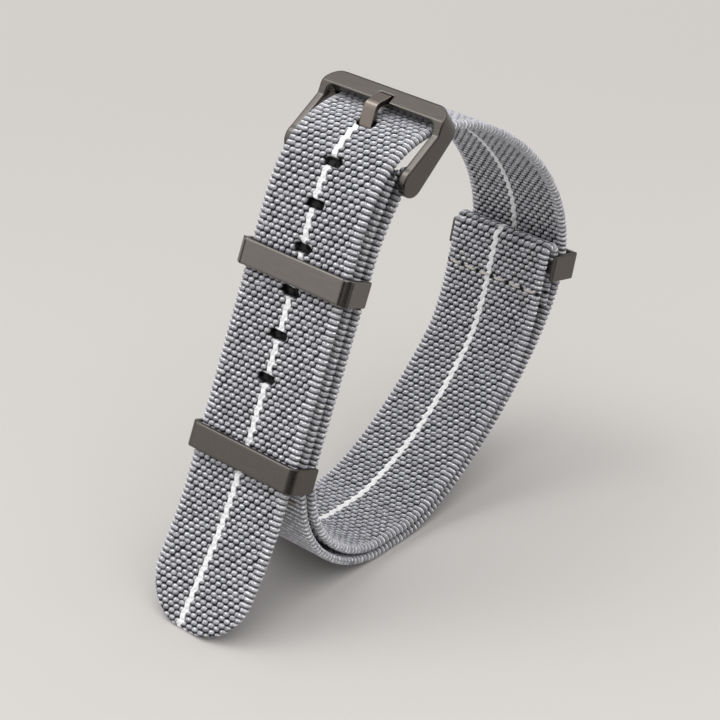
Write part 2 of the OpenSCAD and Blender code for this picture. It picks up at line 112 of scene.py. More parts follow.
@dataclass
class BandLayout:
    """The side view of the band in its own axes, in millimetres, and its turn onto the ground."""

    thickness: float = 1.4
    lean: float = 64
    gap_tail: float = 1.0
    gap_inner: float = 1.0
    stack_low: float = 30
    stack_high: float = 63
    tail_heading: float = 54
    flare_r: float = 60
    flare_z: float = 19
    tail_sink: float = 0.5
    crown_z: float = 58.8
    ground_at: Pair = (-3.73, 0)
    ground_turn: float = 2.7
    flat_front: float = 37.3
    flat_back: float = 43
    crown: Pair = (46, 71.1)
    rise_handles: Pair = (9, 8.5)
    crown_handles: Pair = (13, 17)
    back: Pair = (82.1, 36)
    back_handles: Pair = (16.5, 12.5)
    front: Pair = (14.6, 18)
    front_handles: Pair = (8.8, 10.5)
    stack_handles: Pair = (4, 3)
    bar_at: Pair = (39.1, 65.6)
    wrap_r: float = 1.5
    wrap_start: float = 138
    wrap_end: float = -40
    wrap_tail: float = 0.6
    wrap_headings: Pair = (48, 50)
    ring_heading: float = 73
    fold_at: Pair = (75.8, 33)
    fold_r: float = 1.25
    fold_top: float = 2.8
    fold_join: float = 0.4
    fold_tail: float = 6.5
    fold_main: float = 5.5
    fold_seam: float = 4.1
    fold_points: int = 120
    follow: float = 0.4
    follow_gap: float = 0.7
    low_gap: float = 0.4
    flat_overlap: float = 0.5
    short_front: Pair = (0.8, 0.5)
    short_front_handles: Pair = (7.9, 9.4)
    short_back_pull: Pair = (0.5, 0.3)
    long_notch: float = 6.0
    short_notch: float = 3.0
    first_hole: float = 40.74
    hole_pitch: float = 7
    hole_count: int = 6
    hole_size: Pair = (3.8, 1.75)
    tang_hole: float = 85.35
    tang_hole_size: Pair = (3.8, 2.7)
    shift: float = 43.1429

    def on_stack(self, s: float, n: float) -> np.ndarray:
        """Return the point at height s on the stack, n inwards from the tail's outer face."""
        return s * heading(self.lean) + n * heading(self.lean - 90)

    def on_ground(self, x: float, h: float) -> np.ndarray:
        """Return the point at x along the ground line and h above it."""
        return np.array(self.ground_at) + x * heading(-self.ground_turn) + h * heading(90 - self.ground_turn)

    def placed(self, points: np.ndarray) -> np.ndarray:
        """Turn side-view points onto the ground and move them to the part's origin."""
        p = np.atleast_2d(points) - np.array(self.ground_at)
        return np.stack([p @ heading(-self.ground_turn) - self.shift, p @ heading(90 - self.ground_turn)], axis=-1)

    def __post_init__(self) -> None:
        """Work out the centre lines of the two straps."""
        t, lean = self.thickness, self.lean
        n_long = t + self.gap_tail + t / 2
        n_short = n_long + t + self.gap_inner
        flare_start = self.on_stack(self.flare_z / math.sin(math.radians(lean)), t / 2)
        flare = arc(flare_start + self.flare_r * heading(lean + 90), self.flare_r, self.tail_heading - 90, lean - 90)
        tip_z = -self.tail_sink + t / 2 * math.cos(math.radians(self.tail_heading))
        tip = flare[0] - (flare[0][1] - tip_z) / math.sin(math.radians(self.tail_heading)) * heading(self.tail_heading)
        self.crown_s = self.crown_z / math.sin(math.radians(lean))
        crown_start = self.on_stack(self.crown_s, t / 2)
        crown_c = np.array([self.crown[0], self.crown[1] - t / 2])
        back_c = np.array([self.back[0] - t / 2, self.back[1]])
        ground_in = 180 - self.ground_turn
        back_k, back_m = self.back_handles
        front_k, front_m = self.front_handles
        stack_k, stack_m = self.stack_handles
        front_c = np.array([self.front[0] + t / 2, self.front[1]])
        bar = np.array(self.bar_at)
        wrap_start = bar + self.wrap_r * heading(self.wrap_start)
        wrap_end = bar + self.wrap_r * heading(self.wrap_end)
        down_back = Curve(back_c, -90, back_k, self.on_ground(self.flat_back, t / 2), ground_in, back_m)
        self.before_crown = np.vstack([[tip], flare, [crown_start]])
        self.over_crown = Curve(crown_start, lean, self.rise_handles[0], crown_c, 0, self.rise_handles[1]).points()
        self.long_path = np.vstack([
            [tip], flare, self.over_crown,
            Curve(crown_c, 0, self.crown_handles[0], back_c, -90, self.crown_handles[1]).points(),
            down_back.points(),
            straight(self.on_ground(self.flat_back, t / 2), self.on_ground(self.flat_front + self.flat_overlap, t / 2)),
            Curve(self.on_ground(self.flat_front, t / 2), ground_in, front_k, front_c, 90, front_m).points(),
            Curve(front_c, 90, stack_k, self.on_stack(self.stack_low, n_long), lean, stack_m).points(32),
            Curve(self.on_stack(self.stack_high, n_long), lean, stack_k, wrap_start, self.wrap_headings[0],
                  stack_m).points(40),
            arc(bar, self.wrap_r, self.wrap_start, self.wrap_end),
            [wrap_end + self.wrap_tail * heading(self.wrap_end - 90)],
        ])
        up, out = heading(self.ring_heading), heading(self.ring_heading - 90)
        fold_at = np.array(self.fold_at)
        fold_c = fold_at + self.fold_r * out + self.fold_top * up
        slope = down_back.slope(self.follow)
        follow_h = math.degrees(math.atan2(slope[1], slope[0])) + 360
        follow = down_back.at(self.follow) + (t + self.follow_gap) * heading(follow_h - 90)
        left, short_z = 1 - self.follow, t * 1.5 + self.low_gap
        short_front = np.array(self.front) + np.array([t * 1.5, 0]) + np.array(self.short_front)
        self.short_path = np.vstack([
            straight(fold_at + 2 * self.fold_r * out - self.fold_tail * up,
                     fold_c + self.fold_r * out - self.fold_join * up, 3),
            arc(fold_c, self.fold_r, self.ring_heading - 90, self.ring_heading + 90),
            Curve(fold_at - self.fold_main * up, self.ring_heading + 180, stack_k, follow, follow_h,
                  stack_m).points(32),
            Curve(follow, follow_h, np.linalg.norm(slope) * left / 3 - self.short_back_pull[0],
                  self.on_ground(self.flat_back, short_z), ground_in,
                  back_m * left - self.short_back_pull[1]).points(),
            straight(self.on_ground(self.flat_back, short_z),
                     self.on_ground(self.flat_front + self.flat_overlap, short_z)),
            Curve(self.on_ground(self.flat_front, short_z), ground_in, self.short_front_handles[0], short_front, 90,
                  self.short_front_handles[1]).points(),
            Curve(short_front, 90, stack_k, self.on_stack(self.stack_low, n_short), lean, stack_m).points(32),
            Curve(self.on_stack(self.stack_high, n_short), lean, stack_k, wrap_end, self.wrap_headings[1],
                  stack_m).points(40),
            [wrap_end, wrap_end + self.wrap_tail * heading(self.wrap_headings[1])],
        ])

    def along_face(self, s: float) -> float:
        """Return the distance along the long strap's centre line of a height s on the tail's outer face.

        Args:
            s: Height on the stack, and past the crown's start the run along the outer face.

        Returns:
            The distance from the tail's tip.
        """
        start = run_lengths(self.before_crown)[-1]
        if s <= self.crown_s:
            return start - (self.crown_s - s)
        slope = np.gradient(self.over_crown, axis=0)
        normal = np.stack([-slope[:, 1], slope[:, 0]], -1) / np.linalg.norm(slope, axis=1)[:, None]
        outer = run_lengths(self.over_crown + self.thickness / 2 * normal)
        return start + float(np.interp(s - self.crown_s, outer, run_lengths(self.over_crown)))

    def seam_crossings(self) -> list[float]:
        """Find where the fold's seam crosses the short strap.

        Returns:
            The distances along its two legs.
        """
        fold = self.short_path[:self.fold_points]
        depth = (np.array(self.fold_at) - fold) @ heading(self.ring_heading)
        runs, top = run_lengths(fold), int(depth.argmin())
        return [float(np.interp(-self.fold_seam, -depth[:top], runs[:top])),
                float(np.interp(self.fold_seam, depth[top:], runs[top:]))]


# Node trees

class Value:
    """A node's output. Plain operators on it add Math nodes to its tree."""

    def __init__(self, formula: "Formula", socket: NodeSocket) -> None:
        """Keep the output and the formula that it belongs to."""
        self.formula, self.socket = formula, socket

    def __add__(self, other: "Number") -> "Value":
        """Return the sum."""
        return self.formula.math("ADD", self, other)

    def __sub__(self, other: "Number") -> "Value":
        """Return what is left after the other value."""
        return self.formula.math("SUBTRACT", self, other)

    def __rsub__(self, other: float) -> "Value":
        """Return what this value leaves of a plain number."""
        return self.formula.math("SUBTRACT", other, self)

    def __mul__(self, other: "Number") -> "Value":
        """Return the product."""
        return self.formula.math("MULTIPLY", self, other)

    def __truediv__(self, other: "Number") -> "Value":
        """Return the quotient."""
        return self.formula.math("DIVIDE", self, other)

    def __pow__(self, power: float) -> "Value":
        """Return the power."""
        return self.formula.math("POWER", self, power)

    def __abs__(self) -> "Value":
        """Return the value without its sign."""
        return self.formula.math("ABSOLUTE", self)

    def at_least(self, other: "Number") -> "Value":
        """Return the greater of two values."""
        return self.formula.math("MAXIMUM", self, other)

    def ramp(self, low: float, high: float) -> "Value":
        """Return a smooth step from 0 at low to 1 at high."""
        return self.formula.node("ShaderNodeMapRange", {"Value": self, "From Min": low, "From Max": high}, "Result",
                                 interpolation_type="SMOOTHSTEP")

    def sibling(self, name: str) -> "Value":
        """Return another output of the same node."""
        return Value(self.formula, self.socket.node.outputs[name])


Number = Union[Value, float]
Input = Union[Value, float, str, tuple, Vector]


class Formula:
    """Adds nodes to one node tree."""

    def __init__(self, tree: NodeTree) -> None:
        """Keep the tree that the nodes go in."""
        self.tree = tree

    def fill(self, node: Node, inputs: dict[Union[str, int], Input]) -> None:
        """Fill a node's inputs.

        Args:
            node: The node.
            inputs: Other nodes' outputs or plain values, by the input's name or place. Colours have three parts.
        """
        for name, value in inputs.items():
            socket = node.inputs[name]
            if isinstance(value, Value):
                self.tree.links.new(value.socket, socket)
            else:
                socket.default_value = (*value, 1) if socket.type == "RGBA" else value

    def node(self, kind: str, inputs: Optional[dict[Union[str, int], Input]] = None, out: Union[str, int] = 0,
             **settings: object) -> Value:
        """Add a node.

        Args:
            kind: The node's type.
            inputs: What goes into its inputs.
            out: Name or place of the output that is returned.
            **settings: The node's own settings.

        Returns:
            One of its outputs.
        """
        node = self.tree.nodes.new(kind)
        for name, value in settings.items():
            setattr(node, name, value)
        self.fill(node, inputs or {})
        return Value(self, node.outputs[out])

    def math(self, operation: str, *values: Number) -> Value:
        """Add one Math node."""
        return self.node("ShaderNodeMath", dict(enumerate(values)), operation=operation)

    def blend(self, share: Number, a: Union[Value, Triple], b: Union[Value, Triple], kind: str = "MIX") -> Value:
        """Mix two colours by the second one's share."""
        return self.node("ShaderNodeMix", {"Factor": share, "A": a, "B": b}, "Result", data_type="RGBA",
                         blend_type=kind)

    def chance(self, column: Value, row: Value, seed: float) -> Value:
        """Return a number from 0 to 1 that belongs to one cell, and another one for each seed."""
        cell = self.node("ShaderNodeCombineXYZ", {0: column, 1: row, 2: seed})
        return self.node("ShaderNodeTexWhiteNoise", {"Vector": cell}, "Value")

    def to_nearest(self, value: Value, pitch: float, offset: float) -> Value:
        """Return the signed distance from the nearest of evenly spaced places, one of them at offset pitches."""
        return (self.math("FRACT", value / pitch + (0.5 - offset)) - 0.5) * pitch

    def towards(self, place: Value, direction: Triple) -> Value:
        """Return how far a place lies in a direction."""
        return self.node("ShaderNodeVectorMath", {0: place, 1: Vector(direction).normalized()}, "Value",
                         operation="DOT_PRODUCT")

    def bump(self, height: Value, distance: float, strength: float) -> Value:
        """Return the normal of a surface with a fine relief."""
        return self.node("ShaderNodeBump", {"Height": height, "Distance": distance, "Strength": strength}, "Normal")


def new_group(name: str, kind: str, inputs: dict[str, str],
              outputs: dict[str, str]) -> tuple[Formula, dict[str, Value], Node]:
    """Make a node group.

    Args:
        name: The group's name.
        kind: The kind of tree.
        inputs: The kind of each input, by the input's name.
        outputs: The kind of each output, by the output's name.

    Returns:
        The group's formula, its inputs by name, and the node that takes its outputs.
    """
    tree = bpy.data.node_groups.new(name, kind)
    for side, sockets in (("INPUT", inputs), ("OUTPUT", outputs)):
        for label, socket_kind in sockets.items():
            tree.interface.new_socket(name=label, in_out=side, socket_type=f"NodeSocket{socket_kind}")
    f, start, end = Formula(tree), tree.nodes.new("NodeGroupInput"), tree.nodes.new("NodeGroupOutput")
    return f, {socket.name: Value(f, socket) for socket in start.outputs}, end


# Objects

def new_mesh(name: str, bm: BMesh) -> Mesh:
    """Make a mesh from a working one, and free that."""
    mesh = bpy.data.meshes.new(name)
    bm.to_mesh(mesh)
    bm.free()
    return mesh


def add_object(name: str, data: Union[Mesh, Camera, Light]) -> Object:
    """Put a mesh, a camera or a lamp into the scene.

    Args:
        name: The object's name.
        data: What it shows or does.

    Returns:
        The object.
    """
    obj = bpy.data.objects.new(name, data)
    bpy.context.scene.collection.objects.link(obj)
    return obj


def bake(obj: Object) -> None:
    """Apply an object's modifiers to its mesh.

    Args:
        obj: The object.
    """
    bpy.context.view_layer.update()
    graph = bpy.context.evaluated_depsgraph_get()
    mesh = bpy.data.meshes.new_from_object(obj.evaluated_get(graph), preserve_all_data_layers=True, depsgraph=graph)
    obj.modifiers.clear()
    before, obj.data = obj.data, mesh
    mesh.name = obj.name
    bpy.data.meshes.remove(before)


def run_tree(obj: Object, tree: NodeTree, values: dict[str, object]) -> None:
    """Run a geometry node tree on an object and keep the result as its plain mesh.

    Args:
        obj: The object.
        tree: The geometry node tree.
        values: The tree's inputs by name.
    """
    modifier = obj.modifiers.new(tree.name, "NODES")
    modifier.node_group = tree
    for item in tree.interface.items_tree:
        if item.item_type == "SOCKET" and item.in_out == "INPUT" and item.name in values:
            modifier[item.identifier] = values[item.name]
    bake(obj)


def add_piece(obj: Object, body: str, node: str) -> Object:
    """Hand a finished piece over to the frame.

    Args:
        obj: The piece.
        body: The body that it rides.
        node: The node that it stands for.

    Returns:
        The piece.
    """
    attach(obj, body)
    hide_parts(node)
    log.info("%s: %d faces", obj.name, len(obj.data.polygons))
    return obj


# Weave

@dataclass
class StrapMeasures:
    """The measures of a strap that its weave is written from."""

    along: Value
    across: Value
    rim: Value
    rise: Value
    side: Value
    well: Value

    @staticmethod
    def names() -> tuple[str, ...]:
        """Return the names of the measures, which are also the names of the mesh attributes."""
        return tuple(item.name for item in fields(StrapMeasures))


@dataclass
class WeaveForm:
    """What the weave looks like at a point: its relief, its painted shade with a random tone, its painted highlights
    and its white line.
    """

    height: Value
    tone: Value
    spot: Value
    white: Value


@dataclass(frozen=True)
class Weave:
    """The woven relief: rows of beads laid like bricks, and ribs along both edges, in millimetres."""

    row: float = 0.91
    bead: float = 1.25
    bead_width: float = 0.53
    bead_height: float = 0.53
    bead_tilt: float = 0.18
    boxy: float = 3.0
    domed: float = 0.42
    shade: Pair = (-0.5, 0.1)
    uneven: float = 0.14
    dullest: float = 0.7
    seeds: Triple = (5.5, 6.5, 7.5)
    rib_height: float = 0.5
    rib_from: float = 8.6
    rib_fade: float = 0.15
    depth: float = 0.3
    spot_width: float = 0.36
    spot_height: float = 0.16
    spot_place: float = 0.22
    spot_edge: float = 0.7
    line_width: float = 1.0
    line_sway: float = 0.15
    line_flat: float = 0.5
    line_edge: float = 0.1

    @staticmethod
    def rounded_off(across: Number, along: Value, power: float) -> Value:
        """Return 1 in the middle of a rounded form and 0 at its outline, where both shares reach 1."""
        return (1.0 - abs(across) ** power - abs(along) ** power).at_least(0.0)

    def one_form(self, at: StrapMeasures, du: Number, dv: Value, width: float,
                 height: float) -> tuple[Value, Value, Value]:
        """Write the relief, the painted shade and the painted highlight of one bead or rib.

        Args:
            at: The strap's measures.
            du: Distance across from its centre.
            dv: Distance along from its centre.
            width: Half its width.
            height: Half its height.

        Returns:
            The height, the painted shade and the painted highlight.
        """
        form = self.rounded_off(du / width, dv / height, self.boxy)
        # Painted light: the shade darkens the side of the form away from the light above, as rise gives it, and the
        # highlight sits on the side towards that light.
        tone = (dv * at.rise).ramp(*(share * self.row for share in self.shade))
        low = dv - at.rise * (self.spot_place * self.row)
        spot = self.rounded_off(du / (self.spot_width / self.bead_width * width),
                                low / (self.spot_height * self.row), 2)
        return form ** self.domed, tone, spot.ramp(0.0, self.spot_edge)

    def beads(self, f: Formula, at: StrapMeasures, odd: int) -> tuple[Value, Value, Value]:
        """Write every second row of beads.

        Args:
            f: Where the nodes go.
            at: The strap's measures.
            odd: 0 for the even rows, 1 for the odd ones, which lie half a bead further.

        Returns:
            The height, the painted shade with a random tone, and the painted highlight.
        """
        pitches = ((at.across, self.bead), (at.along, 2 * self.row))
        cell = [f.math("FLOOR", value / pitch + (0.5 - 0.5 * odd)) for value, pitch in pitches]
        *strays, dulled = (f.chance(*cell, seed + len(self.seeds) * odd) for seed in self.seeds)
        across, along = (f.to_nearest(value, pitch, 0.5 * odd) + (stray - 0.5) * self.uneven
                         for (value, pitch), stray in zip(pitches, strays))
        along = along + across * at.side * self.bead_tilt
        height, tone, spot = self.one_form(at, across, along, self.bead_width * self.bead, self.bead_height * self.row)
        return height, tone * (dulled * (2 * (1 - self.dullest)) + self.dullest), spot

    def build(self, f: Formula, at: StrapMeasures) -> WeaveForm:
        """Write the whole weave.

        Args:
            f: Where the nodes go.
            at: The strap's measures.

        Returns:
            The weave's relief and looks.
        """
        even, odd = (self.beads(f, at, number) for number in (0, 1))
        odd_wins = f.math("GREATER_THAN", odd[0], even[0])
        bead = (even[0].at_least(odd[0]), even[1] * (1.0 - odd_wins) + odd[1] * odd_wins, even[2].at_least(odd[2]))
        rib = self.one_form(at, 0.0, f.to_nearest(at.along, self.row, 0.0), 1.0, self.rib_height * self.row)
        edge = at.rim.ramp(self.rib_from, self.rib_from + self.rib_fade)
        inner = 1.0 - edge
        height, tone, spot = (inside * inner + at_edge * edge for inside, at_edge in zip(bead, rib))
        sway = f.math("SINE", at.along * (math.pi / self.row)) * self.line_sway
        half = self.line_width / 2
        white = 1.0 - abs(at.across - sway).ramp(half - self.line_edge, half + self.line_edge)
        return WeaveForm(1.0 - (1.0 - height) * (1.0 - white * self.line_flat), tone, spot, white)


def woven_relief_tree(weave: Weave) -> NodeTree:
    """Build the geometry nodes that press the weave into a strap's surface.

    Args:
        weave: The sizes of the weave.

    Returns:
        The tree.
    """
    f, inputs, end = new_group(
        "woven relief", "GeometryNodeTree",
        {"Geometry": "Geometry", "Depth": "Float", "Webbing": "Material"}, {"Geometry": "Geometry"})
    at = StrapMeasures(*(f.node("GeometryNodeInputNamedAttribute", {"Name": name}, "Attribute", data_type="FLOAT")
                         for name in StrapMeasures.names()))
    push = (weave.build(f, at).height - 1.0) * (1.0 - at.well) * inputs["Depth"]
    offset = f.node("ShaderNodeVectorMath", {0: f.node("GeometryNodeInputNormal"), "Scale": push}, operation="SCALE")
    pressed = f.node("GeometryNodeSetPosition", {"Geometry": inputs["Geometry"], "Offset": offset})
    f.fill(end, {"Geometry": f.node("GeometryNodeSetMaterial", {"Geometry": pressed, "Material": inputs["Webbing"]})})
    return f.tree


# Finishes

@cache
def grain_group() -> NodeTree:
    """Build the shader group for fine streaks and faint blotches on a surface, once for all materials.

    Returns:
        The group's tree.
    """
    f, inputs, end = new_group(
        "surface grain", "ShaderNodeTree",
        {"Vector": "Vector", "Streaks": "Float", "Blotches": "Float"}, {"Streak": "Float", "Blotch": "Float"})
    for result, scale, detail in (("Streak", "Streaks", 3), ("Blotch", "Blotches", 2)):
        noise = {"Vector": inputs["Vector"], "Scale": inputs[scale], "Detail": detail}
        f.fill(end, {result: f.node("ShaderNodeTexNoise", noise, "Fac")})
    return f.tree


def grain_at(f: Formula, place: Value, streaks: float, blotches: float) -> tuple[Value, Value]:
    """Use the grain group in a material.

    Args:
        f: The material's formula.
        place: Where on the surface it is read.
        streaks: How fine the streaks are.
        blotches: How fine the blotches are.

    Returns:
        The streak and the blotch, both from 0 to 1.
    """
    streak = f.node("ShaderNodeGroup", {"Vector": place, "Streaks": streaks, "Blotches": blotches}, "Streak",
                    node_tree=grain_group())
    return streak, streak.sibling("Blotch")


def scaled(colour: Triple, share: float) -> Triple:
    """Return a colour made lighter or darker."""
    return tuple(part * share for part in colour)


@dataclass(frozen=True)
class Finish:
    """The look of a surface. Each kind of finish writes its own nodes."""

    name: str

    def shader(self, f: Formula) -> dict[str, Input]:
        """Write the look's nodes.

        Args:
            f: Where they go.

        Returns:
            What goes into the shader's inputs.
        """
        raise NotImplementedError

    def material(self) -> Material:
        """Build the material.

        Returns:
            The material.
        """
        material = bpy.data.materials.new(self.name)
        material.use_nodes = True
        f = Formula(material.node_tree)
        f.fill(material.node_tree.nodes["Principled BSDF"], self.shader(f))
        return material


@dataclass(frozen=True)
class WebbingFinish(Finish):
    """Two-tone woven webbing with a white line along it, and painted light: near-black painted shade in the pits,
    painted shade and painted highlights on the beads, a painted lighter crown, and painted shade in holes and stitch
    dents.
    """

    weave: Weave
    pit: Triple = (0.009, 0.009, 0.010)
    dark: Triple = (0.118, 0.12, 0.132)
    thread: Triple = (0.452, 0.46, 0.503)
    spot: Triple = (0.88, 0.88, 0.90)
    white_pit: Triple = (0.60, 0.60, 0.64)
    white: Triple = (0.88, 0.88, 0.90)
    roughness: float = 0.62
    specular: float = 0.2
    pit_edges: Pair = (0.42, 0.89)
    fibre: Pair = (1.6, 0.8)
    streaked: float = 0.46
    blotched: float = 0.2
    spread: float = 0.22
    steep: Pair = (1.0, 0.6)
    level: Pair = (-0.1, 0.3)
    streaks: float = 3.4
    blotches: float = 0.9
    streak_edges: Pair = (0.34, 0.66)
    blotch_edges: Pair = (0.3, 0.7)
    line_edges: Pair = (0.1, 0.6)
    line_plain: float = 0.5
    spot_plain: float = 0.1
    well_edges: Pair = (0.0, 0.45)
    well_shade: float = 0.97
    relief: float = 0.2
    fuzz: float = 0.35

    def shader(self, f: Formula) -> dict[str, Input]:
        """Write the weave's colours, its white line, and its painted light: painted shade and highlights on the beads,
        a painted lighter crown, and painted shade in holes and dents.
        """
        at = StrapMeasures(*(f.node("ShaderNodeAttribute", out="Fac", attribute_name=name)
                             for name in StrapMeasures.names()))
        form = self.weave.build(f, at)
        place = f.node("ShaderNodeCombineXYZ", {0: at.along * self.fibre[0], 1: at.across * self.fibre[1], 2: at.rim})
        streak, blotch = grain_at(f, place, self.streaks, self.blotches)
        streak, blotch = streak.ramp(*self.streak_edges), blotch.ramp(*self.blotch_edges)
        # Painted shade: the pits near black, and each bead darker on its side away from the light.
        body = f.blend(form.height.ramp(*self.pit_edges), self.pit, f.blend(form.tone, self.dark, self.thread))
        # Painted highlight: a bright patch on each bead's side towards the light.
        yarn = f.blend(form.spot * (streak * (1 - self.spot_plain) + self.spot_plain), body, self.spot)
        # The white line, painted darker in its pits as painted shade.
        line = f.blend(form.height.ramp(*self.line_edges), self.white_pit, self.white)
        kept = 1.0 - form.white * self.line_plain
        # Painted light: where rise marks the crown's top, the webbing is painted lighter.
        painted_crown_light = at.rise.ramp(*self.steep) * at.rise.ramp(*self.level)
        middle = (self.streaked + self.blotched) / 2
        level = (streak * self.streaked + blotch * self.blotched - middle) * kept + (painted_crown_light * self.spread + 1.0)
        # Painted shade darkens the holes and the stitch dents.
        lit = level * (1.0 - at.well.ramp(*self.well_edges) * self.well_shade)
        grey = f.node("ShaderNodeCombineColor", {"Red": lit, "Green": lit, "Blue": lit})
        return {"Base Color": f.blend(1.0, f.blend(form.white, yarn, line), grey, "MULTIPLY"),
                "Roughness": self.roughness, "Specular IOR Level": self.specular,
                "Normal": f.bump(form.height + streak * self.fuzz * kept, self.relief * MM, 1.0)}


@dataclass(frozen=True)
class MetalFinish(Finish):
    """Satin metal with a fine grain across the band."""

    colour: Triple
    roughness: float = 0.3
    grain_length: float = 0.06
    grain_depth: float = 0.12
    grain_height: float = 0.01
    grain_tone: float = 0.18
    streaks: float = 5200
    blotches: float = 260
    streak_rough: float = 0.16
    blotch_rough: float = 0.1

    def shader(self, f: Formula) -> dict[str, Input]:
        """Write the grain's colours, roughness and relief."""
        place = f.node("ShaderNodeTexCoord", out="Object")
        place = f.node("ShaderNodeMapping", {"Vector": place, "Scale": (1, self.grain_length, 1)})
        streak, blotch = grain_at(f, place, self.streaks, self.blotches)
        base = self.roughness - (self.streak_rough + self.blotch_rough) / 2
        tones = (scaled(self.colour, 1 + sign * self.grain_tone) for sign in (-1, 1))
        return {"Base Color": f.blend(streak, *tones), "Metallic": 1.0,
                "Roughness": streak * self.streak_rough + blotch * self.blotch_rough + base,
                "Normal": f.bump(streak, self.grain_height * MM, self.grain_depth)}


@dataclass(frozen=True)
class ThreadFinish(Finish):
    """Matt twisted sewing thread."""

    colour: Triple
    roughness: float = 0.8
    streaks: float = 4200
    blotches: float = 900
    twist_tones: Pair = (0.6, 1.3)

    def shader(self, f: Formula) -> dict[str, Input]:
        """Write the colours of the twist."""
        place = f.node("ShaderNodeTexCoord", out="Object")
        twist = grain_at(f, place, self.streaks, self.blotches)[0]
        return {"Base Color": f.blend(twist, *(scaled(self.colour, tone) for tone in self.twist_tones)),
                "Roughness": self.roughness}


@dataclass(frozen=True)
class FloorFinish(Finish):
    """A pale matt floor, with painted light that makes it lighter towards the camera. Where metal mirrors it, its side
    towards the camera is painted dark, a painted reflection.
    """

    camera_side: Triple
    far: Triple = (0.466, 0.454, 0.443)
    near: Triple = (0.530, 0.515, 0.502)
    fade: Pair = (-0.2, 0.06)
    mirrored: Triple = (0.03, 0.03, 0.03)
    mirrored_from: Pair = (0.04, 0.14)
    roughness: float = 0.9
    specular: float = 0.2

    def shader(self, f: Formula) -> dict[str, Input]:
        """Write the floor's colours, with its painted light and its painted reflection."""
        depth = f.towards(f.node("ShaderNodeTexCoord", out="Object"), self.camera_side)
        # Painted reflection: glossy rays see the floor's side towards the camera painted dark.
        dark = depth.ramp(*self.mirrored_from) * f.node("ShaderNodeLightPath", out="Is Glossy Ray")
        # Painted light: the floor's colour is lighter towards the camera.
        return {"Base Color": f.blend(dark, f.blend(depth.ramp(*self.fade), self.far, self.near), self.mirrored),
                "Roughness": self.roughness, "Specular IOR Level": self.specular}


# Webbing

@dataclass
class Opening:
    """A hole through a strap: a slot across it that narrows from the outer face inwards, in millimetres."""

    along: float
    width: float
    height: float
    funnel: float = 0.5

    def core(self, y: np.ndarray) -> np.ndarray:
        """Return the nearest place on the slot's middle line."""
        half = (self.width - self.height) / 2
        return np.clip(y, -half, half)

    def beyond_throat(self, s: np.ndarray, y: np.ndarray) -> np.ndarray:
        """Return how far each point is outside the narrow end's outline, below 0 inside it."""
        return np.hypot(y - self.core(y), s - self.along) - self.height / 2 + self.funnel

    def pulled(self, s: np.ndarray, y: np.ndarray) -> tuple[np.ndarray, np.ndarray]:
        """Draw points onto the narrow end's outline.

        Args:
            s: Distance along, for each point.
            y: Distance across, for each point.

        Returns:
            The distances along and across of the nearest places on the outline.
        """
        base = self.core(y)
        ds, dy = s - self.along, y - base
        scale = (self.height / 2 - self.funnel) / np.maximum(np.hypot(ds, dy), TINY)
        return self.along + ds * scale, base + dy * scale

    def well(self, s: np.ndarray, y: np.ndarray) -> np.ndarray:
        """Return how deep the outer face dips: 0 outside the mouth, 1 at the narrow end."""
        share = np.clip(1 - self.beyond_throat(s, y) / self.funnel, 0, 1)
        return share * share * (3 - 2 * share)


@dataclass
class StitchDents:
    """A row of small dents where a seam's stitches dive into the webbing, with painted shade in them, in millimetres.
    """

    along: float
    pitch: float
    radius: float = 0.42
    depth: float = 0.6

    def well(self, s: np.ndarray, y: np.ndarray) -> np.ndarray:
        """Return how deep the face dips at each point."""
        dy = (y / self.pitch + 0.5) % 1 - 0.5
        return self.depth * np.exp(-(np.hypot(dy * self.pitch, s - self.along) / self.radius) ** 2)


